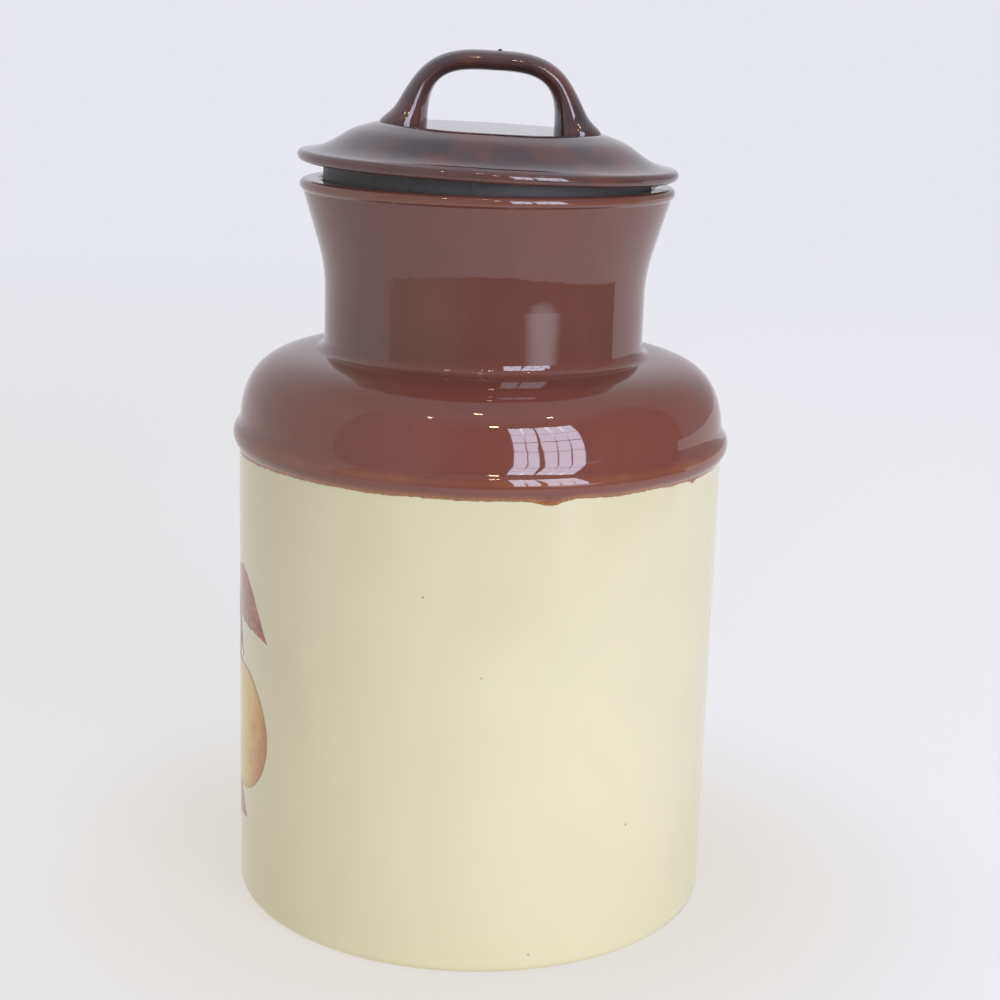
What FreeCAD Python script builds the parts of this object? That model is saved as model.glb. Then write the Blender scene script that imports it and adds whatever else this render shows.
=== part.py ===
"""Glazed stoneware canister: a straight-sided jar with a flared neck, and its domed, handled lid.

Millimetres. +Z is up. The origin is the middle of the base, on the jar's axis.
The lid's handle runs along X. Everything round is a revolved outline, drawn as (radius, height).
"""
import FreeCAD, Part
import math
import os

V = FreeCAD.Vector

# ---- Jar: the straight body and its foot ----
BODY_R = 75.0            # outer radius of the straight side
WALL = 6.0               # thickness of the body's wall
FLOOR = 7.0              # thickness of the jar's floor
FOOT_ROUND = 3.0         # rounding where the side turns under to the foot
FOOT_WIDTH = 7.0         # width of the foot ring that the jar stands on
FOOT_RECESS = 1.5        # how far the underside is hollowed inside the foot ring
INSIDE_CORNER = 9.0      # rounding between the floor and the wall, inside

# ---- Jar: the bead round the shoulder ----
BEAD_Z = 147.8           # height of the bead's crest
BEAD_OUT = 1.9           # how far the crest stands out from the side
BEAD_BELOW = 3.8         # the bead starts this far below its crest
BEAD_ABOVE = 3.9         # the bead ends this far above its crest
BEAD_COVE = 4.8          # soft hollow between the bead and the shoulder

# ---- Jar: shoulder, neck and lip ----
SHOULDER_STEP = 0.15     # the shoulder leaves the bead this much slimmer than the side
SHOULDER_LEAN = 2.3      # degrees that it leans in where it leaves the bead
SHOULDER_RISE = 22.3     # height from there to the neck's root
SHOULDER_SLOPE = 2.1     # degrees that it still climbs where it reaches the neck's root
LOW_PULL = 18.8          # how strongly the shoulder keeps its direction at the bead
HIGH_PULL = 13.9         # how strongly it keeps its direction at the neck
INSIDE_TURN = 10.4       # height of the shoulder's turn inside
NECK_R = 49.1            # outer radius of the neck
NECK_H = 24.8            # height of the straight neck
NECK_WALL = 6.0          # thickness of the neck and of its flare
ROOT_ROUND = 3.0         # fillet at the neck's root
FLARE_H = 26.4           # height from the straight neck to the top of the lip
FLARE_OUT = 6.8          # how far the flare leads out from the neck
FLARE_ROUND = 48.0       # soft bend between the neck and its flare
LIP_HEIGHT = 3.4         # height of the rolled edge
LIP_OUT = 1.0            # how far the rolled edge stands out from the flare

# ---- Lid, in its own frame: heights are from the underside of its rim ----
LID_OVERHANG = 0.8       # the lid's rim reaches this far past the lip
RIM_T = 3.4              # thickness of the rim, rounded all round
BRIM_W = 9.9             # width of the sloping brim
BRIM_RISE = 2.6          # height that the brim gains
DOME_W = 14.0            # width of the slope between the brim and the flat top
DOME_RISE = 6.4          # height gained on that slope
LID_T = 4.6              # thickness of the dome
HOLLOW_INSET = 8.0       # the level part of the hollow underneath ends this far inside the flat top
FLANGE_T = 3.8           # thickness of the locating flange under the lid
FLANGE_DEPTH = 13.5      # depth of the flange

# ---- Seal ring between the flange and the mouth ----
SEAL_T = 3.6             # thickness of the ring, before the mouth squeezes it
SEAL_DEPTH = 10.5        # depth of the ring below the lid's brim
SEAT_DEPTH = 3.9         # depth below the lip where the ring meets the flared mouth

# ---- How the lid sits ----
LID_LIFT = 3.6           # the rim's underside is this far above the lip, on the axis
LID_TILT = 1.72          # degrees that the lid leans towards +X, held askew by the seal

# ---- Handle: a loop that stands on the flat top and thickens into its two feet ----
GAP_W = 38.2             # width of the finger gap
GAP_H = 16.8             # height of the finger gap over the flat top
GAP_SQUARENESS = 3.4     # 2 would make the gap half an ellipse, more makes it squarer
LOOP_T = 6.0             # thickness of the loop at its crown
LOOP_W = 14.0            # width of the loop at its crown
FOOT_W = 21.0            # width of each foot where it meets the flat top
FOOT_EDGE = 0.2          # the feet stop this far inside the edge of the flat top
FOOT_BLEND = 2.3         # how late the loop starts to thicken into its feet
FOOT_SUNK = 1.2          # the feet run this far into the top, so that they join it
NUB_R = 0.8              # radius of the small drop of glaze on the crown
NUB_OUT = 0.5            # how far the drop stands out
NUB_X = 1.6              # how far the drop is from the middle of the crown

# ---- Worked out from the sizes above ----
SHOULDER_R = BODY_R - SHOULDER_STEP
SHOULDER_Z = BEAD_Z + BEAD_ABOVE
ROOT_Z = SHOULDER_Z + SHOULDER_RISE
FLARE_Z = ROOT_Z + NECK_H
LIP_Z = FLARE_Z + FLARE_H
LIP_R = NECK_R + FLARE_OUT + LIP_OUT
LIP_ROUND = LIP_HEIGHT / 2
LIP_LOW_Z = LIP_Z - LIP_ROUND - math.sqrt(LIP_ROUND ** 2 - (LIP_ROUND - LIP_OUT) ** 2)
FLARE_SLOPE = FLARE_OUT / (LIP_LOW_Z - FLARE_Z)
MOUTH_R = NECK_R - NECK_WALL + FLARE_SLOPE * (LIP_Z - FLARE_Z)
SEAL_R = MOUTH_R - FLARE_SLOPE * SEAT_DEPTH
FLANGE_R = SEAL_R - SEAL_T
LID_R = LIP_R + LID_OVERHANG
BRIM_R = LID_R - BRIM_W
BRIM_Z = RIM_T + BRIM_RISE
TOP_R = BRIM_R - DOME_W
TOP_Z = BRIM_Z + DOME_RISE
LID_PLACE = FreeCAD.Placement(V(0, 0, LIP_Z + LID_LIFT), FreeCAD.Rotation(V(0, 1, 0), LID_TILT))


def at(radius, height):
    return V(radius, 0, height)


def line(start, end):
    return Part.LineSegment(at(*start), at(*end)).toShape()


def arc(start, middle, end):
    return Part.Arc(at(*start), at(*middle), at(*end)).toShape()


def quarter_turn(start, end):
    """Quarter of an ellipse that leaves start straight up and arrives at end level."""
    centre = V(end[0], 0, start[1])
    tips = sorted([at(*start), at(*end)], key=lambda tip: -(tip - centre).Length)
    return Part.Ellipse(tips[0], tips[1], centre).toShape(0, math.pi / 2)


def curve(points, start_slope, end_slope):
    """Smooth curve through points, with its direction given at both ends."""
    spline = Part.BSplineCurve()
    spline.interpolate(Points=[at(*point) for point in points],
                       InitialTangent=at(*start_slope), FinalTangent=at(*end_slope))
    return spline.toShape()


def pulled_curve(start, start_angle, start_pull, end, end_angle, end_pull):
    """Smooth curve that leaves start and reaches end along the given angles above level, in degrees."""
    leave = math.radians(start_angle)
    reach = math.radians(end_angle)
    bezier = Part.BezierCurve()
    bezier.setPoles([
        at(*start),
        at(start[0] + start_pull * math.cos(leave), start[1] + start_pull * math.sin(leave)),
        at(end[0] - end_pull * math.cos(reach), end[1] - end_pull * math.sin(reach)),
        at(*end),
    ])
    return bezier.toShape()


def turned(edges):
    """Solid of revolution about Z of one closed outline."""
    outline = Part.Wire(Part.__sortEdges__(edges))
    return Part.Face(outline).revolve(V(0, 0, 0), V(0, 0, 1), 360)


def circles(shape, radius, height, tolerance=0.05):
    """The round edges of a turned solid that have this radius and height."""
    found = []
    for edge in shape.Edges:
        if not isinstance(edge.Curve, Part.Circle):
            continue
        if abs(edge.Curve.Radius - radius) < tolerance and abs(edge.Curve.Center.z - height) < tolerance:
            found.append(edge)
    return found


def make_jar():
    """Body, shoulder, neck and lip as one hollow turned piece."""
    bead_low = (BODY_R, BEAD_Z - BEAD_BELOW)
    bead_top = (SHOULDER_R, SHOULDER_Z)
    root = (NECK_R, ROOT_Z)
    flare = (NECK_R, FLARE_Z)
    lip_low = (LIP_R - LIP_OUT, LIP_LOW_Z)
    lip_top = (LIP_R - LIP_ROUND, LIP_Z)
    mouth = (MOUTH_R, LIP_Z)

    inner_r = BODY_R - WALL
    inner_neck = NECK_R - NECK_WALL
    inner_root = (inner_neck, ROOT_Z - WALL)
    inner_turn = (inner_r, inner_root[1] - INSIDE_TURN)
    inner_flare = (inner_neck, FLARE_Z)
    inside_floor = FOOT_RECESS + FLOOR
    foot_in = BODY_R - FOOT_ROUND - FOOT_WIDTH
    recess_in = foot_in - FOOT_RECESS

    jar = turned([
        line((0, FOOT_RECESS), (recess_in, FOOT_RECESS)),
        line((recess_in, FOOT_RECESS), (foot_in, 0)),
        line((foot_in, 0), (BODY_R, 0)),
        line((BODY_R, 0), bead_low),
        arc(bead_low, (BODY_R + BEAD_OUT, BEAD_Z), bead_top),
        pulled_curve(bead_top, 90 + SHOULDER_LEAN, LOW_PULL, root, 180 - SHOULDER_SLOPE, HIGH_PULL),
        line(root, flare),
        line(flare, lip_low),
        arc(lip_low, (LIP_R, LIP_Z - LIP_ROUND), lip_top),
        line(lip_top, mouth),
        line(mouth, inner_flare),
        line(inner_flare, inner_root),
        quarter_turn(inner_turn, inner_root),
        line(inner_turn, (inner_r, inside_floor)),
        line((inner_r, inside_floor), (0, inside_floor)),
        line((0, inside_floor), (0, FOOT_RECESS)),
    ])
    jar = jar.makeFillet(FOOT_ROUND, circles(jar, BODY_R, 0))
    jar = jar.makeFillet(INSIDE_CORNER, circles(jar, inner_r, inside_floor))
    jar = jar.makeFillet(ROOT_ROUND, circles(jar, *root))
    jar = jar.makeFillet(FLARE_ROUND, circles(jar, *flare) + circles(jar, *inner_flare))
    jar = jar.makeFillet(BEAD_COVE, circles(jar, *bead_top))
    jar = jar.makeFillet(1.2, circles(jar, *bead_low))
    jar = jar.makeFillet(0.9, circles(jar, *lip_low))
    return jar.makeFillet(1.8, circles(jar, *mouth))


def make_lid_shell():
    """Dome, brim and locating flange of the lid."""
    rim_r = LID_R - RIM_T / 2
    half_way = (BRIM_R - 0.5 * DOME_W, BRIM_Z + 0.671875 * DOME_RISE)
    near_top = (BRIM_R - 0.7714286 * DOME_W, BRIM_Z + 0.875 * DOME_RISE)
    dome = curve([(rim_r, RIM_T), (BRIM_R, BRIM_Z), half_way, near_top, (TOP_R, TOP_Z)], (-1, 0.1), (-1, 0.12))
    inside_top = TOP_Z - LID_T
    flange_in = FLANGE_R - FLANGE_T
    hollow_r = TOP_R - HOLLOW_INSET
    under = curve([(flange_in, 0), (flange_in - 5.0, inside_top - 3.2), (hollow_r, inside_top)], (0, 1), (-1, 0))
    shell = turned([
        arc((rim_r, 0), (LID_R, RIM_T / 2), (rim_r, RIM_T)),
        dome,
        line((TOP_R, TOP_Z), (0, TOP_Z)),
        line((0, TOP_Z), (0, inside_top)),
        line((0, inside_top), (hollow_r, inside_top)),
        under,
        line((flange_in, 0), (flange_in, -FLANGE_DEPTH)),
        line((flange_in, -FLANGE_DEPTH), (FLANGE_R, -FLANGE_DEPTH)),
        line((FLANGE_R, -FLANGE_DEPTH), (FLANGE_R, 0)),
        line((FLANGE_R, 0), (rim_r, 0)),
    ])
    return shell.makeFillet(1.5, circles(shell, FLANGE_R, -FLANGE_DEPTH) + circles(shell, flange_in, -FLANGE_DEPTH))


def oval(centre, one_way, other_way):
    """Closed elliptical wire about centre, reaching to the tips of two half axes."""
    longer, shorter = sorted([one_way, other_way], key=lambda axis: -axis.Length)
    return Part.Wire([Part.Ellipse(centre + longer, centre + shorter, centre).toShape()])


def loop_section(degrees):
    """Oval section of the handle, at an angle from the crown (0) down to a foot (90 or -90)."""
    angle = math.radians(degrees)
    half_gap = GAP_W / 2
    power = 2 / GAP_SQUARENESS
    across = abs(math.sin(angle)) ** power
    up = max(math.cos(angle), 0) ** power
    side = math.copysign(1, angle)
    inner = V(side * half_gap * across, 0, TOP_Z + GAP_H * up)
    outward = V(side * across ** (GAP_SQUARENESS - 1) / half_gap, 0, up ** (GAP_SQUARENESS - 1) / GAP_H)
    outward.normalize()
    blend = (1 - up) ** FOOT_BLEND
    foot_t = TOP_R - FOOT_EDGE - half_gap
    thickness = LOOP_T + (foot_t - LOOP_T) * blend
    width = LOOP_W + (FOOT_W - LOOP_W) * blend
    centre = inner + outward * (thickness / 2)
    return oval(centre, outward * (thickness / 2), V(0, width / 2, 0))


def make_handle():
    """The loop, lofted through oval sections from one foot over the crown to the other."""
    steps = [0, 20, 38, 54, 67, 78, 86, 90]
    right = [loop_section(step) for step in steps]
    left = [loop_section(-step) for step in steps[:0:-1]]
    root_right = right[-1].copy()
    root_right.translate(V(0, 0, -FOOT_SUNK))
    root_left = left[0].copy()
    root_left.translate(V(0, 0, -FOOT_SUNK))
    return Part.makeLoft([root_left] + left + right + [root_right], True, False)


def make_lid():
    """Shell and handle as one piece, with the small drop of glaze on the crown."""
    crown = TOP_Z + GAP_H + LOOP_T
    drop = Part.makeSphere(NUB_R, V(NUB_X, 0, crown + NUB_OUT - NUB_R))
    lid = make_lid_shell().fuse([make_handle(), drop])
    return lid.removeSplitter()


def make_seal():
    """Ring round the flange, before the mouth squeezes it."""
    return turned([
        line((FLANGE_R, 0), (SEAL_R, 0)),
        line((SEAL_R, 0), (SEAL_R, -SEAL_DEPTH)),
        line((SEAL_R, -SEAL_DEPTH), (FLANGE_R, -SEAL_DEPTH)),
        line((FLANGE_R, -SEAL_DEPTH), (FLANGE_R, 0)),
    ])


jar = make_jar()
lid = make_lid()
seal_ring = make_seal()
lid.Placement = LID_PLACE
seal_ring.Placement = LID_PLACE
seal_ring = seal_ring.cut(jar)

os.makedirs("parts", exist_ok=True)
for name, shape in {"jar": jar, "lid": lid, "seal_ring": seal_ring}.items():
    solid = shape.Solids[0]
    box = solid.optimalBoundingBox(False)
    print(name, "valid", solid.isValid(), "solids", len(shape.Solids), "volume_cm3", round(solid.Volume / 1000, 1),
          "z", round(box.ZMin, 2), round(box.ZMax, 2), "x", round(box.XMin, 2), round(box.XMax, 2))
    solid.exportStep("parts/%s.step" % name)
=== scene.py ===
import math

import bpy
from mathutils import Matrix, Vector


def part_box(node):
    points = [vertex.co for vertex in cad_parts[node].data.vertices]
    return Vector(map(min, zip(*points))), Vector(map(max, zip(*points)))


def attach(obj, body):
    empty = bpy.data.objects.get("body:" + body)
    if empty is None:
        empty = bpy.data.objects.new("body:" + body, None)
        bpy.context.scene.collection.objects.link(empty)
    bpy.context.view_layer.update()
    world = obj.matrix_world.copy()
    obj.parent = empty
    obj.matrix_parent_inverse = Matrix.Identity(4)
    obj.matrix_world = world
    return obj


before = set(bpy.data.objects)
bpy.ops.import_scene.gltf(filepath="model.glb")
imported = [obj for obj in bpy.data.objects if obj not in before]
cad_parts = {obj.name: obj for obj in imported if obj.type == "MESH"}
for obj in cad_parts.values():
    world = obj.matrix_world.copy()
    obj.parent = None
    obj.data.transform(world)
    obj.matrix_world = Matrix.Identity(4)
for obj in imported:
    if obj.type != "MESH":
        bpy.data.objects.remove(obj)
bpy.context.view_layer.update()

bl_info = {
    "name": "Stoneware Canister",
    "version": (1, 0, 0),
    "blender": (4, 5, 0),
    "location": "View3D > Sidebar > Canister",
    "description": "Glazes, decorates and stages a lidded stoneware canister",
    "category": "Object",
}

MM = 0.001
ROOT = "root"

# ---------------------------------------------------------------- places on the jar and the lid

# The jar's box is in metres, and what follows from it in millimetres.
JAR_LOW, JAR_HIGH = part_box("jar")
BEAD_PROUD = 1.9
BEAD_BELOW_LIP = 77.4
SIDE_R = (JAR_HIGH[0] - JAR_LOW[0]) / 2 / MM - BEAD_PROUD
LIP_Z = JAR_HIGH[2] / MM
BEAD_Z = LIP_Z - BEAD_BELOW_LIP
FOOT_RING_R = 61.0
FOOT_RING_Z = 0.5
LID_RIM_R = 56.6
NECK_ROOT_Z = 174.0

# Heights between which the brown darkens up the neck, and the two crests where it runs thin:
# height and half-width.
DARKER_NECK = (165.0, 185.0)
THIN_BEAD = (BEAD_Z + 1.1, 1.25)
THIN_LIP = (LIP_Z - 1.8, 1.0)

# The hollow under the shoulder stays cream. In a cut through the axis it lies within an ellipse:
# its middle, and its half-axes outward and up.
HOLLOW_R, HOLLOW_Z = 46.0, 150.0
HOLLOW_WIDE, HOLLOW_TALL = 26.0, 20.5

# Drips below the end of the brown glaze: degrees right of the front, half-width in degrees and
# share of the drip's full depth. The dip on the left is a broad sag, one millimetre deep.
DRIPS = (
    (15.5, 3.4, 1.0),
    (56.5, 0.9, 0.8),
)
LEFT_DIP, LEFT_DIP_WIDTH = -75.0, 14.0

# Small brown specks in the cream glaze: degrees right of the front, height and size in
# millimetres.
CREAM_SPECKS = (
    (-11.5, 115.0, 0.45),
    (38.0, 42.0, 0.5),
    (1.5, 92.0, 0.35),
    (14.0, 6.0, 0.5),
)

GLAZE_IOR = 1.65
PRINT_IOR = 1.6
RUBBER_IOR = 1.35

# ---------------------------------------------------------------- the decoration's parts

# Leaves and stems: base and tip, width and bend, in millimetres along the side from the
# decoration's middle and up from the floor.
LEAVES = (
    ("leaf_right", (8, 101), (48, 89), 17, 4),
    ("leaf_top", (2, 96), (-14, 124), 17, -3),
    ("leaf_left", (-14, 92), (-47, 84), 15, -4),
    ("leaf_low_left", (-26, 46), (-50, 33), 13, 3),
    ("leaf_low_right", (8, 38), (30, 27), 12, -2),
    ("stem_left", (2, 97), (-17, 78), 1.6, -2),
    ("stem_right", (4, 100), (26, 78), 1.6, 4),
)

# Fruit: middle, radius and skin.
FRUIT = (
    ("fruit_violet", (6, 84), 14, "violet"),
    ("fruit_left", (-18, 60), 22, "golden"),
    ("fruit_right", (24, 57.5), 23, "golden"),
)

# How far the first leaf and the first fruit stand off the side, and how much further each next
# one does, so that those that overlap don't share a surface.
LEAF_PROUD, LEAF_RISE = 0.03, 0.006
FRUIT_PROUD, FRUIT_RISE = 0.07, 0.012
FILL_RINGS = 10
FRUIT_STEPS = 72
LEAF_STEPS = 36

FRUIT_LIGHT = (0.84, 0.67, 0.27)
FRUIT_BRUISE = (0.30, 0.22, 0.23)
LEAF_FLUSH = (0.50, 0.235, 0.135)
LEAF_VEIN = (0.17, 0.055, 0.035)

# ---------------------------------------------------------------- lights, table and air, in metres

LIGHTS_AIM = Vector((0, 0, 0.15))

# Window panes: name, degrees right of the front, width and columns of small panes. The middle
# of each is WINDOW_LIFT degrees up.
WINDOW_PANES = (
    ("window_left", 20.6, 0.32, 2),
    ("window_right", 38.2, 0.505, 3),
)
WINDOW_DISTANCE = 1.5
WINDOW_LIFT = 19.0
WINDOW_HEIGHT = 1.12
WINDOW_ROWS = 4
WINDOW_BAR = 0.018
WINDOW_COLOUR = (0.74, 0.79, 1.0)

# Small warm lamps: degrees right of the front, degrees up and width.
SMALL_LAMPS = (
    (-33, 54, 0.05),
    (-4, 68, 0.11),
    (7, 43, 0.11),
    (47, 56, 0.05),
)
LAMP_DISTANCE = 1.8
LAMP_HEIGHT = 0.03
LAMP_RADIANCE = 90.0
LAMP_COLOUR = (1.0, 0.72, 0.42)

# The table's round front runs between two bearings. Its edge is nearest at the front.
TABLE_LEFT, TABLE_RIGHT = math.radians(-76), math.radians(103)
TABLE_NEAREST = 0.385
TABLE_SPREAD = 0.22
TABLE_STEPS = 40
TABLE_FAR = 6.0

# Where the floor's tints change, in millimetres: out from the axis, to the right and to the back.
# The floor glows by a share, so that its shadow stays soft.
# The first pair: within this reach of the axis the floor carries painted warm shade, in place of
# light bounced off the cream body.
FLOOR_PAINTED_BOUNCE = (70.0, 190.0)
FLOOR_FRONT_EDGE = (300.0, 380.0)
FLOOR_SIDES = (-300.0, 300.0)
FLOOR_FRONT_END = (-100.0, 250.0)
FLOOR_DISTANT = (400.0, 1800.0)
FLOOR_SHADED = (0.80, 0.79, 0.79)
FLOOR_GLOW = 0.78

# The darker half of the room, and the floor lit below the window: degrees right of the front.
ROOM_TURN = 19.0
WINDOW_FOOT_TURN = 42.0
PALE_AIR = (1.0, 1.0, 1.08)
ROOM_LEFT, ROOM_RIGHT = (0.50, 0.48, 0.49), (0.20, 0.17, 0.16)
WINDOW_FOOT_LIGHT = (1.9, 1.9, 2.1)
CEILING = (0.50, 0.54, 0.60)

SENSOR_WIDTH = 36.0
CLIP_START = 0.01

# A Mix node's sockets: its factor, its two colours and its colour result.
MIX_SHARE, MIX_FIRST, MIX_SECOND, MIX_RESULT = 0, 6, 7, 2


# ---------------------------------------------------------------- shader maths

class Term:
    """A number that varies over a surface. Sums and products of terms add Math nodes."""

    def __init__(self, paint, socket):
        self.paint = paint
        self.socket = socket

    def joined(self, operation, first, second=0.0):
        """Adds one Math node."""
        made = self.paint.node("ShaderNodeMath", {"operation": operation}, {0: first, 1: second})
        return Term(self.paint, made.outputs[0])

    def __add__(self, other):
        return self.joined("ADD", self, other)

    def __radd__(self, other):
        return self.joined("ADD", other, self)

    def __sub__(self, other):
        return self.joined("SUBTRACT", self, other)

    def __rsub__(self, other):
        return self.joined("SUBTRACT", other, self)

    def __mul__(self, other):
        return self.joined("MULTIPLY", self, other)

    def __rmul__(self, other):
        return self.joined("MULTIPLY", other, self)

    def __truediv__(self, other):
        return self.joined("DIVIDE", self, other)

    def __rtruediv__(self, other):
        return self.joined("DIVIDE", other, self)

    def __neg__(self):
        return self.joined("MULTIPLY", self, -1.0)

    def larger(self, other):
        return self.joined("MAXIMUM", self, other)

    def absolute(self):
        return self.joined("ABSOLUTE", self)

    def root(self):
        return self.joined("SQRT", self)

    def sine(self):
        return self.joined("SINE", self)

    def hump(self, centre, width):
        """1 at centre, falling away smoothly on both sides within about width."""
        offset = (self - centre) / width
        return self.joined("EXPONENT", -(offset * offset))

    def ramp(self, low, high):
        """0 up to low, 1 from high, smooth between."""
        made = self.paint.node(
            "ShaderNodeMapRange", {"interpolation_type": "SMOOTHSTEP"},
            {"Value": self, "From Min": low, "From Max": high})
        return Term(self.paint, made.outputs["Result"])


def reach(x, y):
    """How long a step across x and up y is."""
    return (x * x + y * y).root()


def bearing(x, y):
    """The angle round the axis, from the front towards the right."""
    return x.joined("ARCTAN2", x, -y)


def towards(x, y, degrees):
    """How closely a direction points to a bearing: 1 straight at it, 0 square to it."""
    return x * math.sin(math.radians(degrees)) - y * math.cos(math.radians(degrees))


class Paint:
    """The nodes of one procedural material, or of the world, and what they read."""

    def __init__(self, owner):
        self.owner = owner
        owner.use_nodes = True
        self.tree = owner.node_tree
        self.tree.nodes.clear()

    def node(self, kind, settings=None, sockets=None):
        """Adds a node. Its settings are set first, then its sockets get values or links."""
        made = self.tree.nodes.new(kind)
        for name, value in (settings or {}).items():
            setattr(made, name, value)
        for name, value in (sockets or {}).items():
            self.feed(made.inputs[name], value)
        return made

    def feed(self, socket, value):
        if isinstance(value, Term):
            self.tree.links.new(value.socket, socket)
        elif isinstance(value, bpy.types.NodeSocket):
            self.tree.links.new(value, socket)
        elif socket.type == "RGBA":
            socket.default_value = (*value[:3], 1.0)
        else:
            socket.default_value = value

    def split(self, vector):
        """A vector's x, y and z."""
        parts = self.node("ShaderNodeSeparateXYZ", None, {"Vector": vector})
        return [Term(self, parts.outputs[axis]) for axis in "XYZ"]

    def point(self):
        """Where a point lies on the object, in metres."""
        return self.node("ShaderNodeTexCoord").outputs["Object"]

    def place(self):
        """The point, and its x, y and z in millimetres."""
        point = self.point()
        return point, *[part / MM for part in self.split(point)]

    def grain(self, point, size, detail=2.0, stretch=(1.0, 1.0, 1.0)):
        """Noise between about 0 and 1 with features of the given size in millimetres."""
        scale = [1 / (size * MM * factor) for factor in stretch]
        spread = self.node("ShaderNodeVectorMath", {"operation": "MULTIPLY"}, {0: point, 1: scale})
        noise = self.node("ShaderNodeTexNoise", None, {
            "Vector": spread.outputs[0], "Scale": 1.0, "Detail": detail})
        return Term(self, noise.outputs["Fac"])

    def mix(self, share, first, second):
        """A colour that goes from first to second as share goes from 0 to 1."""
        made = self.node("ShaderNodeMix", {"data_type": "RGBA", "clamp_factor": True}, {
            MIX_SHARE: share, MIX_FIRST: first, MIX_SECOND: second})
        return made.outputs[MIX_RESULT]

    def shade(self, colour, level):
        """A colour made lighter or darker by a term near 1."""
        scaled = self.node("ShaderNodeVectorMath", {"operation": "SCALE"}, {
            0: colour, "Scale": level})
        return scaled.outputs[0]

    def finish(self, colour, roughness, ior, relief=None):
        """Ends the material in one shader, with an optional relief in millimetres."""
        shader = self.node("ShaderNodeBsdfPrincipled", None, {
            "Base Color": colour, "Roughness": roughness, "IOR": ior})
        if relief is not None:
            bump = self.node("ShaderNodeBump", None, {
                "Height": relief, "Distance": MM, "Strength": 1.0})
            self.feed(shader.inputs["Normal"], bump.outputs["Normal"])
        self.node("ShaderNodeOutputMaterial", None, {"Surface": shader.outputs["BSDF"]})
        return self.owner


# ---------------------------------------------------------------- sizes and colours to change

class CanisterGlaze(bpy.types.PropertyGroup):
    cream: bpy.props.FloatVectorProperty(
        name="Cream", description="Cream glaze of the body",
        subtype="COLOR", size=3, default=(0.735, 0.68, 0.42), min=0.0, max=1.0)
    brown: bpy.props.FloatVectorProperty(
        name="Brown", description="Red-brown glaze of the shoulder and neck",
        subtype="COLOR", size=3, default=(0.190, 0.056, 0.035), min=0.0, max=1.0)
    lid: bpy.props.FloatVectorProperty(
        name="Lid", description="Darker brown glaze of the lid",
        subtype="COLOR", size=3, default=(0.062, 0.040, 0.041), min=0.0, max=1.0)
    thin: bpy.props.FloatVectorProperty(
        name="Thin brown", description="Where the brown glaze runs thin over an edge",
        subtype="COLOR", size=3, default=(0.30, 0.108, 0.042), min=0.0, max=1.0)
    fringe: bpy.props.FloatVectorProperty(
        name="Fringe", description="Ochre where the brown glaze ends on the cream",
        subtype="COLOR", size=3, default=(0.38, 0.165, 0.048), min=0.0, max=1.0)
    bisque: bpy.props.FloatVectorProperty(
        name="Bare clay", description="Unglazed foot",
        subtype="COLOR", size=3, default=(0.60, 0.50, 0.36), min=0.0, max=1.0)
    seal: bpy.props.FloatVectorProperty(
        name="Seal", description="Black rubber of the seal ring",
        subtype="COLOR", size=3, default=(0.110, 0.107, 0.101), min=0.0, max=1.0)
    line_z: bpy.props.FloatProperty(
        name="Glaze line", description="Height where the brown glaze ends",
        subtype="DISTANCE", default=0.1434, unit="LENGTH")
    fringe_width: bpy.props.FloatProperty(
        name="Fringe width", description="Width of the ochre fringe",
        default=0.0017, unit="LENGTH")
    drip_depth: bpy.props.FloatProperty(
        name="Drip", description="How far the largest drip runs below the line",
        default=0.0012, unit="LENGTH")
    gloss: bpy.props.FloatProperty(
        name="Roughness", description="Roughness of the glaze",
        default=0.04, min=0.0, max=1.0, subtype="FACTOR")


class CanisterDecoration(bpy.types.PropertyGroup):
    facing: bpy.props.FloatProperty(
        name="Facing", description="Angle of the decoration's middle, turned left from the front",
        default=math.radians(92.5), subtype="ANGLE", unit="ROTATION")
    fruit: bpy.props.FloatVectorProperty(
        name="Fruit", description="Golden skin of the fruit",
        subtype="COLOR", size=3, default=(0.74, 0.50, 0.11), min=0.0, max=1.0)
    blush: bpy.props.FloatVectorProperty(
        name="Blush", description="Orange blush on the fruit's side",
        subtype="COLOR", size=3, default=(0.55, 0.22, 0.05), min=0.0, max=1.0)
    plum: bpy.props.FloatVectorProperty(
        name="Plum", description="Violet of the small fruit",
        subtype="COLOR", size=3, default=(0.25, 0.13, 0.17), min=0.0, max=1.0)
    leaf: bpy.props.FloatVectorProperty(
        name="Leaf", description="Russet of the leaves",
        subtype="COLOR", size=3, default=(0.39, 0.10, 0.042), min=0.0, max=1.0)


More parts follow.
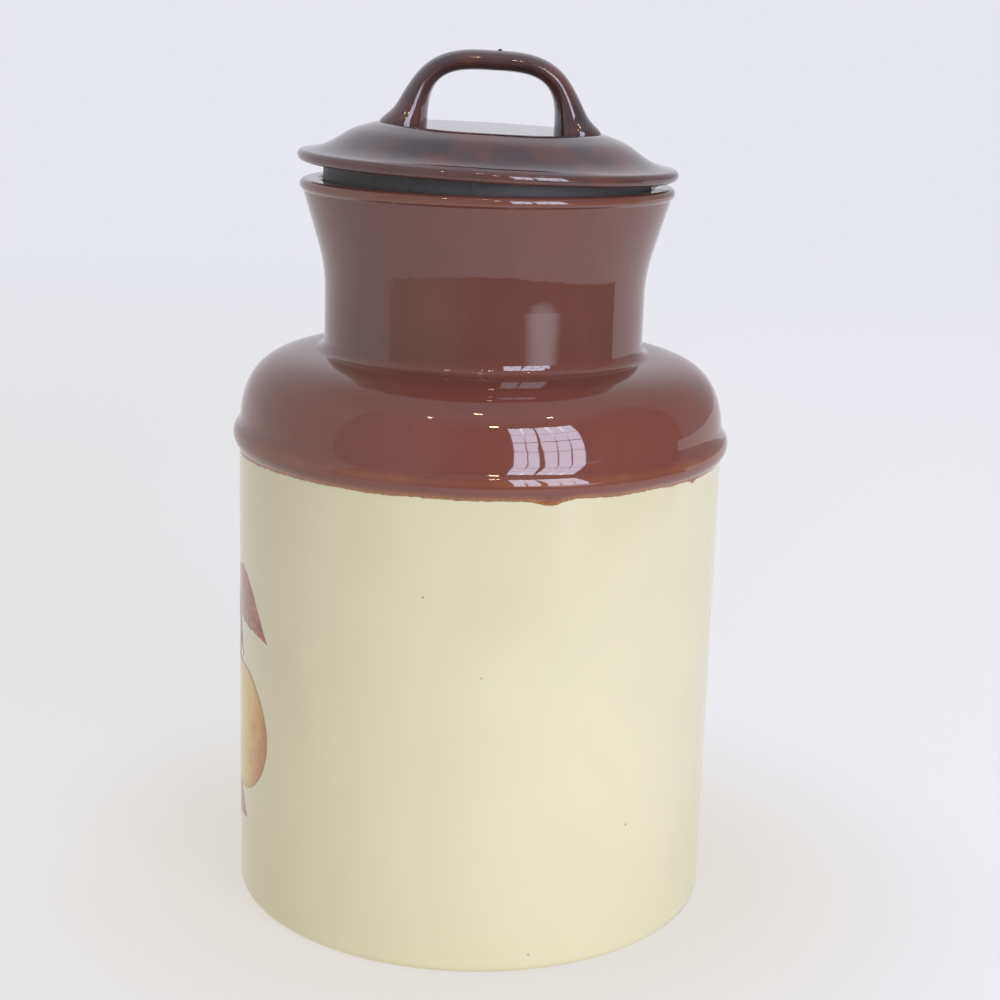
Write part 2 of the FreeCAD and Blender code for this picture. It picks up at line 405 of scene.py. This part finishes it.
class CanisterStage(bpy.types.PropertyGroup):
    distance: bpy.props.FloatProperty(
        name="Camera distance", description="Distance in front of the jar's axis",
        default=0.5849, unit="LENGTH")
    height: bpy.props.FloatProperty(
        name="Camera height", description="Height above the floor",
        default=0.2697, unit="LENGTH")
    pitch: bpy.props.FloatProperty(
        name="Pitch", description="How far the camera looks down",
        default=math.radians(13.84), subtype="ANGLE", unit="ROTATION")
    yaw: bpy.props.FloatProperty(
        name="Yaw", description="How far the camera looks to the right",
        default=math.radians(0.65), subtype="ANGLE", unit="ROTATION")
    roll: bpy.props.FloatProperty(
        name="Roll", description="How far the camera is tipped anticlockwise",
        default=math.radians(1.72), subtype="ANGLE", unit="ROTATION")
    lens: bpy.props.FloatProperty(
        name="Lens", description="Focal length for a 36 mm wide sensor",
        default=68.56, unit="CAMERA")
    # Painted warm shade close around the jar's foot, in place of light bounced off the cream body.
    painted_bounce_floor: bpy.props.FloatVectorProperty(
        name="Near floor", description="Warm tint of the floor close around the jar",
        subtype="COLOR", size=3, default=(0.81, 0.775, 0.715), min=0.0, max=1.0)
    left_floor: bpy.props.FloatVectorProperty(
        name="Left floor", description="Colour of the floor to the left",
        subtype="COLOR", size=3, default=(0.86, 0.86, 0.86), min=0.0, max=1.0)
    right_floor: bpy.props.FloatVectorProperty(
        name="Right floor", description="Colour of the floor to the right",
        subtype="COLOR", size=3, default=(0.935, 0.925, 0.97), min=0.0, max=1.0)
    far_floor: bpy.props.FloatVectorProperty(
        name="Far floor", description="Colour of the far floor and the air behind",
        subtype="COLOR", size=3, default=(0.80, 0.80, 0.87), min=0.0, max=1.0)
    window: bpy.props.FloatProperty(
        name="Window", description="Brightness of the window panes",
        default=8.0, min=0.0)
    room: bpy.props.FloatProperty(
        name="Room", description="Brightness of the pale air around the object",
        default=0.75, min=0.0)


# ---------------------------------------------------------------- glazes and rubber

def cloudy(paint, point, brown):
    """Brown glaze: softly clouded, faintly streaked where it ran down, with a few dark pores."""
    clouds = paint.grain(point, 26.0, 2.0)
    streaks = paint.grain(point, 3.0, 3.0, (1.0, 1.0, 9.0))
    pores = paint.grain(point, 0.9, 1.0).ramp(0.70, 0.80)
    return paint.shade(brown, 0.80 + clouds * 0.26 + streaks * 0.16 - pores * 0.25)


def glaze_edge(paint, glaze, point, angle, z):
    """Millimetres above the ragged line where the brown glaze ends, with its drips."""
    waver = (paint.grain(point, 16.0, 1.0) - 0.5) * 1.3
    ragged = (paint.grain(point, 1.2, 3.0) - 0.5) * 0.8
    line = glaze.line_z / MM + waver + ragged
    for middle, width, share in DRIPS:
        drip = share * glaze.drip_depth / MM
        line = line - angle.hump(math.radians(middle), math.radians(width)) * drip
    line = line - angle.hump(math.radians(LEFT_DIP), math.radians(LEFT_DIP_WIDTH))
    return z - line


def speckle(paint, glaze, cream, angle, z):
    """Adds the placed brown specks to the cream."""
    for speck_angle, speck_z, size in CREAM_SPECKS:
        across = (angle - math.radians(speck_angle)) * SIDE_R
        up = z - speck_z
        inside = 1 - (across * across + up * up).ramp(0.0, size * size)
        cream = paint.mix(inside * 0.7, cream, glaze.thin)
    return cream


def make_jar_glaze(glaze):
    """Cream body and brown top, parted by a ragged ochre fringe, on a bare foot ring."""
    paint = Paint(bpy.data.materials.new("jar_two_glazes"))
    point, x, y, z = paint.place()
    radius = reach(x, y)
    angle = bearing(x, y)
    above = glaze_edge(paint, glaze, point, angle, z)

    outward = (radius - HOLLOW_R) / HOLLOW_WIDE
    upward = (z - HOLLOW_Z) / HOLLOW_TALL
    past_hollow = (outward * outward + upward * upward).ramp(1.0, 1.1)
    on_neck = z.ramp(NECK_ROOT_Z - 1, NECK_ROOT_Z + 1)
    covered = above.ramp(-0.05, 0.25) * past_hollow.larger(on_neck)

    width = glaze.fringe_width / MM
    patch = paint.grain(point, 4.0, 2.0)
    broken = paint.grain(point, 0.9, 2.0).ramp(0.36, 0.58)
    fringe = 1 - above.ramp(width * 0.5, width * 0.9 + patch * width)
    gold = (1 - above.ramp(width * 0.2, width * 0.8)) * broken
    thinned = 0.45 + 0.55 * paint.grain(point, 9.0, 2.0).ramp(0.38, 0.60)
    crest = z.hump(*THIN_BEAD) * thinned
    lip = z.hump(*THIN_LIP) * 0.25

    brown = paint.mix(z.ramp(*DARKER_NECK) * 0.3, glaze.brown, glaze.lid)
    brown = cloudy(paint, point, brown)
    brown = paint.mix(crest * 0.6 + lip, brown, glaze.thin)
    brown = paint.mix(fringe * 0.85, brown, glaze.thin)
    brown = paint.mix(gold, brown, glaze.fringe)

    cream = paint.shade(glaze.cream, 0.96 + paint.grain(point, 30.0, 2.0) * 0.08)
    cream = speckle(paint, glaze, cream, angle, z)
    colour = paint.mix(covered, cream, brown)

    low = 1 - z.ramp(FOOT_RING_Z - 0.2, FOOT_RING_Z + 0.2)
    bare = low * radius.ramp(FOOT_RING_R - 1, FOOT_RING_R + 1)
    colour = paint.mix(bare, colour, glaze.bisque)
    roughness = glaze.gloss + bare * 0.6 + (1 - covered) * 0.10
    relief = covered * 0.15 + paint.grain(point, 9.0, 1.0) * 0.04
    return paint.finish(colour, roughness, GLAZE_IOR, relief)


def make_lid_glaze(glaze):
    """Dark brown lid, a little redder on its upright edge and in soft patches."""
    paint = Paint(bpy.data.materials.new("lid_brown_glaze"))
    point, x, y, _ = paint.place()
    rim = reach(x, y).ramp(LID_RIM_R - 0.8, LID_RIM_R + 0.8) * 0.35
    thinner = paint.grain(point, 16.0, 2.0).ramp(0.40, 0.72) * 0.55
    colour = paint.mix(rim.larger(thinner), cloudy(paint, point, glaze.lid), glaze.brown)
    relief = paint.grain(point, 7.0, 1.0) * 0.05
    return paint.finish(colour, glaze.gloss, GLAZE_IOR, relief)


def make_seal_rubber(glaze):
    """Black rubber with a little dust on it."""
    paint = Paint(bpy.data.materials.new("seal_black_rubber"))
    point = paint.point()
    dust = paint.grain(point, 2.5, 3.0)
    colour = paint.shade(glaze.seal, 0.8 + dust * 0.5)
    relief = paint.grain(point, 0.5, 1.0) * 0.02
    return paint.finish(colour, 0.42 + dust * 0.2, RUBBER_IOR, relief)


def dress(node, material):
    """Gives one carried-over CAD node its material."""
    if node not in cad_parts:
        raise RuntimeError("no node called " + node)
    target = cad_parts[node]
    if not target.material_slots:
        target.data.materials.append(material)
    for slot in target.material_slots:
        slot.material = material


# ---------------------------------------------------------------- printed patches

def mesh_object(name, verts, faces, material):
    """A smooth piece in one material, carried by the canister."""
    mesh = bpy.data.meshes.new(name)
    mesh.from_pydata(verts, [], faces)
    for polygon in mesh.polygons:
        polygon.use_smooth = True
    mesh.materials.append(material)
    piece = bpy.data.objects.new(name, mesh)
    bpy.context.collection.objects.link(piece)
    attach(piece, ROOT)
    return piece


def on_side(along, height, proud, facing):
    """A point on the jar's side: millimetres along it from the decoration's middle, and up."""
    radius = SIDE_R + proud
    angle = along / SIDE_R - facing
    return (radius * math.sin(angle) * MM, -radius * math.cos(angle) * MM, height * MM)


def fill_rings(outline, middle):
    """Flat points in rings that shrink from an outline to its middle, and the faces on them."""
    count = len(outline)
    flat = []
    for ring in range(FILL_RINGS):
        share = 1 - ring / FILL_RINGS
        flat += [(middle[0] + (u - middle[0]) * share, middle[1] + (v - middle[1]) * share)
                 for u, v in outline]
    flat.append(middle)
    faces = []
    for start in range(0, (FILL_RINGS - 1) * count, count):
        for step in range(count):
            after = (step + 1) % count
            faces.append((start + step, start + after,
                          start + count + after, start + count + step))
    last = (FILL_RINGS - 1) * count
    for step in range(count):
        faces.append((last + step, last + (step + 1) % count, len(flat) - 1))
    return flat, faces


def decorate(name, outline, middle, proud, facing, material, turn=0.0):
    """A printed patch on the side, filled from its outline to its middle.

    The UV map holds the patch's own place: 0.5, 0.5 in the middle, 0 and 1 at its ends, turned
    so that U runs along a leaf.
    """
    flat, faces = fill_rings(outline, middle)
    verts = [on_side(u, v, proud, facing) for u, v in flat]
    piece = mesh_object(name, verts, faces, material)
    layer = piece.data.uv_layers.new(name="place")
    span = 2 * max(math.dist(corner, middle) for corner in outline)
    for loop in piece.data.loops:
        u, v = flat[loop.vertex_index]
        u, v = (u - middle[0]) / span, (v - middle[1]) / span
        layer.data[loop.index].uv = (0.5 + u * math.cos(turn) + v * math.sin(turn),
                                     0.5 + v * math.cos(turn) - u * math.sin(turn))
    return piece


def fruit_outline(middle, radius, squash=0.94, dimple=0.10):
    """A round fruit with a soft dimple at its stalk."""
    outline = []
    for step in range(FRUIT_STEPS):
        turn = 2 * math.pi * step / FRUIT_STEPS
        dip = dimple * math.exp(-((turn - math.pi / 2) / 0.35) ** 2)
        out = radius * (1 - dip + 0.02 * math.cos(3 * turn))
        outline.append((middle[0] + out * math.cos(turn),
                        middle[1] + out * squash * math.sin(turn)))
    return outline


def leaf_outline(base, tip, width, bend):
    """A pointed leaf from its base to its tip, widest before its middle, with a rippled edge."""
    length = math.dist(base, tip)
    along = ((tip[0] - base[0]) / length, (tip[1] - base[1]) / length)
    side = (-along[1], along[0])

    def edge(share, sign):
        ripple = 1 + 0.03 * math.sin(40 * share)
        belly = math.sin(math.pi * share ** 0.75) ** 1.15 * width / 2 * ripple
        off = bend * math.sin(math.pi * share) + sign * belly
        run = share * length
        return (base[0] + along[0] * run + side[0] * off,
                base[1] + along[1] * run + side[1] * off)

    upper = [edge(step / LEAF_STEPS, 1) for step in range(LEAF_STEPS + 1)]
    lower = [edge(step / LEAF_STEPS, -1) for step in range(LEAF_STEPS - 1, 0, -1)]
    return upper + lower


def middle_of(outline):
    """The mean of an outline's points."""
    count = len(outline)
    return (sum(u for u, v in outline) / count, sum(v for u, v in outline) / count)


def patch_place(paint):
    """The patch's own place: across and up run from -1 to 1 through its middle."""
    layer = paint.node("ShaderNodeUVMap", {"uv_map": "place"}).outputs["UV"]
    across, up, _ = paint.split(layer)
    return across * 2 - 1, up * 2 - 1


def make_fruit_paint(name, skin, blush, glaze):
    """Fruit skin with a blush to its lower side, a light, soft bruises and a darker edge."""
    paint = Paint(bpy.data.materials.new(name))
    point = paint.point()
    across, up = patch_place(paint)
    blotch = paint.grain(point, 6.0, 3.0)
    stroke = paint.grain(point, 1.2, 2.0, (1.0, 1.0, 3.0))
    side = (across * 0.8 - up * 0.25 + (blotch - 0.5) * 0.8).ramp(0.1, 0.9)
    colour = paint.mix(side, paint.shade(skin, 0.86 + stroke * 0.3), blush)
    right, above = across + 0.25, up - 0.2
    light = (1 - (right * right + above * above).ramp(0.0, 0.35)) * 0.45
    colour = paint.mix(light, colour, FRUIT_LIGHT)
    bruise = paint.grain(point, 5.0, 2.0).ramp(0.62, 0.72) * 0.45
    colour = paint.mix(bruise, colour, FRUIT_BRUISE)
    edge = reach(across, up).ramp(0.78, 1.0) * 0.45
    colour = paint.mix(edge, colour, paint.shade(blush, 0.7))
    return paint.finish(colour, glaze.gloss, PRINT_IOR)


def make_leaf_paint(deco, glaze):
    """Leaf: russet with lighter flushes, darker strokes, a midrib and side veins."""
    paint = Paint(bpy.data.materials.new("leaf_print"))
    point = paint.point()
    across, up = patch_place(paint)
    flush = paint.grain(point, 7.0, 2.0).ramp(0.35, 0.7)
    stroke = paint.grain(point, 1.0, 2.0, (3.0, 3.0, 1.0)).ramp(0.45, 0.7)
    colour = paint.mix(flush * 0.7, deco.leaf, LEAF_FLUSH)
    colour = paint.mix(stroke * 0.4, colour, paint.shade(deco.leaf, 0.5 + across * 0.1))
    sideways = up.absolute()
    slant = (across * 26.0 - sideways * 34.0).sine()
    veins = slant.ramp(0.86, 1.0) * (1 - sideways.ramp(0.15, 0.32)) * 0.45
    midrib = up.hump(0.0, 0.022) * 0.7
    colour = paint.mix(veins.larger(midrib), colour, LEAF_VEIN)
    return paint.finish(colour, glaze.gloss, PRINT_IOR)


class CANISTER_OT_jar(bpy.types.Operator):
    """Glazes the jar: cream body, brown shoulder and neck, ochre fringe and bare foot"""
    bl_idname = "canister.jar"
    bl_label = "Glaze Jar"

    def execute(self, context):
        dress("jar", make_jar_glaze(context.scene.canister_glaze))
        return {"FINISHED"}


class CANISTER_OT_lid(bpy.types.Operator):
    """Glazes the lid and its handle dark brown"""
    bl_idname = "canister.lid"
    bl_label = "Glaze Lid"

    def execute(self, context):
        dress("lid", make_lid_glaze(context.scene.canister_glaze))
        return {"FINISHED"}


class CANISTER_OT_seal(bpy.types.Operator):
    """Gives the seal ring its black rubber"""
    bl_idname = "canister.seal"
    bl_label = "Seal Ring"

    def execute(self, context):
        dress("seal_ring", make_seal_rubber(context.scene.canister_glaze))
        return {"FINISHED"}


class CANISTER_OT_decoration(bpy.types.Operator):
    """Prints a spray of round fruit and russet leaves on the jar's side"""
    bl_idname = "canister.decoration"
    bl_label = "Fruit Decoration"

    def execute(self, context):
        glaze = context.scene.canister_glaze
        deco = context.scene.canister_decoration
        skins = {
            "golden": make_fruit_paint("golden_fruit_print", deco.fruit, deco.blush, glaze),
            "violet": make_fruit_paint("violet_fruit_print", deco.plum, deco.leaf, glaze),
        }
        leaf = make_leaf_paint(deco, glaze)
        for order, (name, base, tip, width, bend) in enumerate(LEAVES):
            outline = leaf_outline(base, tip, width, bend)
            proud = LEAF_PROUD + LEAF_RISE * order
            turn = math.atan2(tip[1] - base[1], tip[0] - base[0])
            decorate(name, outline, middle_of(outline), proud, deco.facing, leaf, turn)
        for order, (name, middle, radius, skin) in enumerate(FRUIT):
            proud = FRUIT_PROUD + FRUIT_RISE * order
            outline = fruit_outline(middle, radius)
            decorate(name, outline, middle, proud, deco.facing, skins[skin])
        return {"FINISHED"}


# ---------------------------------------------------------------- stage

def aimed_from(azimuth, elevation, distance, target):
    """Matrix that stands a light at a bearing from the front and turns it to the target."""
    direction = Vector((
        math.sin(azimuth) * math.cos(elevation),
        -math.cos(azimuth) * math.cos(elevation),
        math.sin(elevation)))
    turn = direction.to_track_quat("Z", "Y").to_matrix().to_4x4()
    return Matrix.Translation(target + direction * distance) @ turn


def add_soft_light(name, azimuth, elevation, distance, width, height, radiance, colour):
    """A rectangle of even light that faces the jar. Both angles are in degrees."""
    light = bpy.data.lights.new(name, "AREA")
    light.shape = "RECTANGLE"
    light.size = width
    light.size_y = height
    light.color = colour
    light.energy = radiance * math.pi * width * height
    lamp = bpy.data.objects.new(name, light)
    bpy.context.collection.objects.link(lamp)
    lamp.matrix_world = aimed_from(
        math.radians(azimuth), math.radians(elevation), distance, LIGHTS_AIM)
    return lamp


def swung(index, count, extent):
    """Degrees that one of count equal parts of the window lies off the window's middle."""
    off = ((index + 0.5) / count - 0.5) * extent
    return math.degrees(math.atan(off / WINDOW_DISTANCE))


def add_window(name, azimuth, width, columns, radiance):
    """A tall window pane of small panes, with dark bars between them."""
    wide, tall = width / columns, WINDOW_HEIGHT / WINDOW_ROWS
    for column in range(columns):
        turn = azimuth + swung(column, columns, width)
        for row in range(WINDOW_ROWS):
            lift = WINDOW_LIFT + swung(row, WINDOW_ROWS, WINDOW_HEIGHT)
            add_soft_light("%s_%d_%d" % (name, column, row), turn, lift, WINDOW_DISTANCE,
                           wide - WINDOW_BAR, tall - WINDOW_BAR, radiance, WINDOW_COLOUR)


def add_small_lamps():
    """Warm lamps that show as glints in the glaze and add no light to matt surfaces."""
    for number, (azimuth, elevation, width) in enumerate(SMALL_LAMPS):
        lamp = add_soft_light("small_lamp_%d" % number, azimuth, elevation, LAMP_DISTANCE,
                              width, LAMP_HEIGHT, LAMP_RADIANCE, LAMP_COLOUR)
        lamp.visible_diffuse = False


def table_corners():
    """A table top with a round front, that runs away to both sides and far behind."""
    def corner(turn, distance):
        return (distance * math.sin(turn), -distance * math.cos(turn), 0.0)

    front = []
    for step in range(TABLE_STEPS + 1):
        turn = TABLE_RIGHT + (TABLE_LEFT - TABLE_RIGHT) * step / TABLE_STEPS
        front.append(corner(turn, TABLE_NEAREST + TABLE_SPREAD * (1 - math.cos(turn))))
    return [corner(TABLE_RIGHT, TABLE_FAR), *front, corner(TABLE_LEFT, TABLE_FAR),
            (-TABLE_FAR, TABLE_FAR, 0.0), (TABLE_FAR, TABLE_FAR, 0.0)]


def make_floor_paint(stage):
    """Pale floor with a soft shadow and painted warm shade close around the jar's foot, running
    without an edge into the air behind.
    """
    paint = Paint(bpy.data.materials.new("plain_floor"))
    _, x, y, _ = paint.place()
    radius = reach(x, y)
    front_edge = radius.ramp(*FLOOR_FRONT_EDGE) * (1 - y.ramp(*FLOOR_FRONT_END))
    far = y.ramp(*FLOOR_DISTANT).larger(front_edge)
    colour = paint.mix(x.ramp(*FLOOR_SIDES), stage.left_floor, stage.right_floor)
    # Painted warm shade close around the jar's foot, in place of light bounced off the cream body.
    colour = paint.mix(1 - radius.ramp(*FLOOR_PAINTED_BOUNCE), colour, stage.painted_bounce_floor)
    colour = paint.mix(far, colour, stage.far_floor)
    shaded = paint.node("ShaderNodeBsdfDiffuse", None, {"Color": FLOOR_SHADED})
    glowing = paint.node("ShaderNodeEmission", None, {"Color": colour, "Strength": 1.0})
    mixed = paint.node("ShaderNodeMixShader", None, {
        0: FLOOR_GLOW + far * (1 - FLOOR_GLOW),
        1: shaded.outputs["BSDF"], 2: glowing.outputs["Emission"]})
    paint.node("ShaderNodeOutputMaterial", None, {"Surface": mixed.outputs["Shader"]})
    return paint.owner


def make_world(stage):
    """Pale air behind and beside the object, and in front of it a darker room.

    The room has a dim ceiling and a bright patch at the foot of the window. The camera itself
    sees only the even colour of the far floor.
    """
    paint = Paint(bpy.data.worlds.new("pale_air"))
    x, y, z = paint.split(paint.node("ShaderNodeTexCoord").outputs["Generated"])
    left_air = [level * stage.room for level in PALE_AIR]
    right_air = [level * 0.5 for level in left_air]
    air = paint.mix(x.ramp(0.1, 0.8), left_air, right_air)
    dark = paint.mix((-x).ramp(-0.1, 0.6), ROOM_RIGHT, ROOM_LEFT)
    room = paint.mix(towards(x, y, ROOM_TURN).ramp(-0.02, 0.06), air, dark)
    window_foot = towards(x, y, WINDOW_FOOT_TURN).ramp(0.955, 0.99) * (-z).ramp(-0.02, 0.06)
    room = paint.mix(window_foot, room, WINDOW_FOOT_LIGHT)
    room = paint.mix(z.ramp(0.6, 0.9), room, CEILING)
    seen = paint.node("ShaderNodeLightPath").outputs["Is Camera Ray"]
    colour = paint.mix(seen, room, stage.far_floor)
    background = paint.node("ShaderNodeBackground", None, {"Color": colour, "Strength": 1.0})
    paint.node("ShaderNodeOutputWorld", None, {"Surface": background.outputs["Background"]})
    return paint.owner


def add_floor(stage):
    """One flat face that the canister stands on."""
    corners = table_corners()
    mesh = bpy.data.meshes.new("floor")
    mesh.from_pydata(corners, [], [range(len(corners))])
    mesh.materials.append(make_floor_paint(stage))
    floor = bpy.data.objects.new("floor", mesh)
    bpy.context.collection.objects.link(floor)


def add_camera(stage):
    """The camera in front of the canister, looking a little down and tipped a little."""
    camera = bpy.data.cameras.new("camera")
    camera.sensor_width = SENSOR_WIDTH
    camera.lens = stage.lens
    camera.clip_start = CLIP_START
    holder = bpy.data.objects.new("camera", camera)
    bpy.context.collection.objects.link(holder)
    forward = Vector((
        math.sin(stage.yaw) * math.cos(stage.pitch),
        math.cos(stage.yaw) * math.cos(stage.pitch),
        -math.sin(stage.pitch)))
    turn = forward.to_track_quat("-Z", "Y").to_matrix().to_4x4()
    tip = Matrix.Rotation(stage.roll, 4, "Z")
    place = Matrix.Translation((0.0, -stage.distance, stage.height))
    holder.matrix_world = place @ turn @ tip
    bpy.context.scene.camera = holder


class CANISTER_OT_stage(bpy.types.Operator):
    """Sets out the floor, the air, the lights and the camera"""
    bl_idname = "canister.stage"
    bl_label = "Stage"

    def execute(self, context):
        stage = context.scene.canister_stage
        add_floor(stage)
        context.scene.world = make_world(stage)
        context.scene.view_settings.view_transform = "Standard"
        for name, azimuth, width, columns in WINDOW_PANES:
            add_window(name, azimuth, width, columns, stage.window)
        add_small_lamps()
        add_camera(stage)
        return {"FINISHED"}


# ---------------------------------------------------------------- panel and registration

STEPS = (CANISTER_OT_jar, CANISTER_OT_lid, CANISTER_OT_seal,
         CANISTER_OT_decoration, CANISTER_OT_stage)


class CANISTER_PT_panel(bpy.types.Panel):
    """Lists the canister's settings and steps"""
    bl_idname = "CANISTER_PT_panel"
    bl_label = "Stoneware Canister"
    bl_space_type = "VIEW_3D"
    bl_region_type = "UI"
    bl_category = "Canister"

    def draw(self, context):
        layout = self.layout
        scene = context.scene
        for group in (scene.canister_glaze, scene.canister_decoration, scene.canister_stage):
            for name in group.__annotations__:
                layout.prop(group, name)
        for step in STEPS:
            layout.operator(step.bl_idname)


CLASSES = (CanisterGlaze, CanisterDecoration, CanisterStage, *STEPS, CANISTER_PT_panel)


def register():
    for cls in CLASSES:
        bpy.utils.register_class(cls)
    bpy.types.Scene.canister_glaze = bpy.props.PointerProperty(type=CanisterGlaze)
    bpy.types.Scene.canister_decoration = bpy.props.PointerProperty(type=CanisterDecoration)
    bpy.types.Scene.canister_stage = bpy.props.PointerProperty(type=CanisterStage)


def unregister():
    del bpy.types.Scene.canister_stage
    del bpy.types.Scene.canister_decoration
    del bpy.types.Scene.canister_glaze
    for cls in reversed(CLASSES):
        bpy.utils.unregister_class(cls)


def main():
    register()
    bpy.ops.canister.jar()
    bpy.ops.canister.lid()
    bpy.ops.canister.seal()
    bpy.ops.canister.decoration()
    bpy.ops.canister.stage()


if __name__ == "__main__":
    main()
